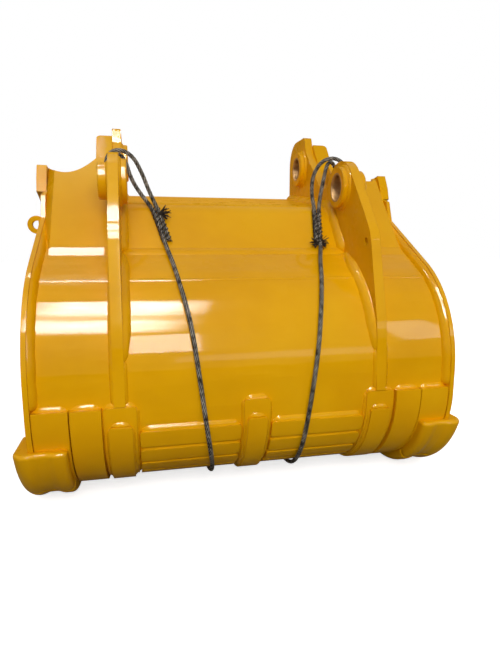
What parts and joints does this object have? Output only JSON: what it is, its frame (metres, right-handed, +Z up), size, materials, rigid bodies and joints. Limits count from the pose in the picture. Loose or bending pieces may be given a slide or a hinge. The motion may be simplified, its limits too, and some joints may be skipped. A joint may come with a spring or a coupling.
{
  "type": "excavator bucket",
  "caption": "Excavator bucket with a curved back, side plates, pin ears, heel wear plates and turning tooth locks, with a wire rope sling laid over its ears.",
  "frame": {"origin": "middle of the bucket's footprint, on the ground that it stands on, measured without the sling", "axes": "+X across the bucket's width, to the right as seen from behind; +Y from the heel towards the teeth; +Z up"},
  "size_m": [2.144, 2.3668, 1.9379],
  "materials": {
    "yellow_paint": "glossy golden yellow paint",
    "bush_steel": "machined and oiled",
    "lock_steel": "dark forged steel",
    "wire_rope": "dark, oiled steel wire rope"
  },
  "bodies": {
    "bucket": {"adapter_1": "yellow_paint", "adapter_2": "yellow_paint", "adapter_3": "yellow_paint", "adapter_4": "yellow_paint", "adapter_5": "yellow_paint", "corner_plate_left": "yellow_paint", "corner_plate_right": "yellow_paint", "cutter_bolts": "yellow_paint", "ear_gussets": "yellow_paint", "ear_left": "yellow_paint", "ear_right": "yellow_paint", "floor_plate": "yellow_paint", "heel_base_centre": "yellow_paint", "heel_base_left": "yellow_paint", "heel_base_right": "yellow_paint", "heel_shroud_lower_left": "yellow_paint", "heel_shroud_lower_right": "yellow_paint", "heel_shroud_upper_left": "yellow_paint", "heel_shroud_upper_right": "yellow_paint", "heel_strap_centre": "yellow_paint", "heel_strap_left": "yellow_paint", "heel_strap_right": "yellow_paint", "hinge_front_plate": "yellow_paint", "hinge_rear_plate": "yellow_paint", "lifting_eye": "yellow_paint", "link_boss_left": "yellow_paint", "link_boss_right": "yellow_paint", "link_bushes": "bush_steel", "lip_plate": "yellow_paint", "lip_shrouds": "yellow_paint", "side_bar_left": "yellow_paint", "side_bar_right": "yellow_paint", "side_cutter_left": "yellow_paint", "side_cutter_right": "yellow_paint", "side_plate_left": "yellow_paint", "side_plate_right": "yellow_paint", "side_strap_left": "yellow_paint", "side_strap_right": "yellow_paint", "sling_rope": "wire_rope", "stick_boss_left": "yellow_paint", "stick_boss_right": "yellow_paint", "stick_bushes": "bush_steel", "tooth_tip_1": "yellow_paint", "tooth_tip_2": "yellow_paint", "tooth_tip_3": "yellow_paint", "tooth_tip_4": "yellow_paint", "tooth_tip_5": "yellow_paint", "wear_bars_left": "yellow_paint", "wear_bars_right": "yellow_paint", "wing_cover_left": "yellow_paint", "wing_cover_right": "yellow_paint", "wing_plate_left": "yellow_paint", "wing_plate_right": "yellow_paint", "wrapper_lower": "yellow_paint", "wrapper_upper": "yellow_paint"},
    "lock_1": {"tooth_lock_1": "lock_steel"},
    "lock_2": {"tooth_lock_2": "lock_steel"},
    "lock_3": {"tooth_lock_3": "lock_steel"},
    "lock_4": {"tooth_lock_4": "lock_steel"},
    "lock_5": {"tooth_lock_5": "lock_steel"}
  },
  "joints": [
    {"name": "lock_1_turn", "type": "hinge", "parent": "bucket", "child": "lock_1", "pos_m": [-0.8, 0.91405, 0.109], "axis": [1, 0, 0], "range_deg": [0, 180]},
    {"name": "lock_2_turn", "type": "hinge", "parent": "bucket", "child": "lock_2", "pos_m": [-0.37, 0.91405, 0.109], "axis": [1, 0, 0], "range_deg": [0, 180]},
    {"name": "lock_3_turn", "type": "hinge", "parent": "bucket", "child": "lock_3", "pos_m": [0.06, 0.91405, 0.109], "axis": [1, 0, 0], "range_deg": [0, 180]},
    {"name": "lock_4_turn", "type": "hinge", "parent": "bucket", "child": "lock_4", "pos_m": [0.49, 0.91405, 0.109], "axis": [1, 0, 0], "range_deg": [0, 180]},
    {"name": "lock_5_turn", "type": "hinge", "parent": "bucket", "child": "lock_5", "pos_m": [0.92, 0.91405, 0.109], "axis": [1, 0, 0], "range_deg": [0, 180]}
  ]
}
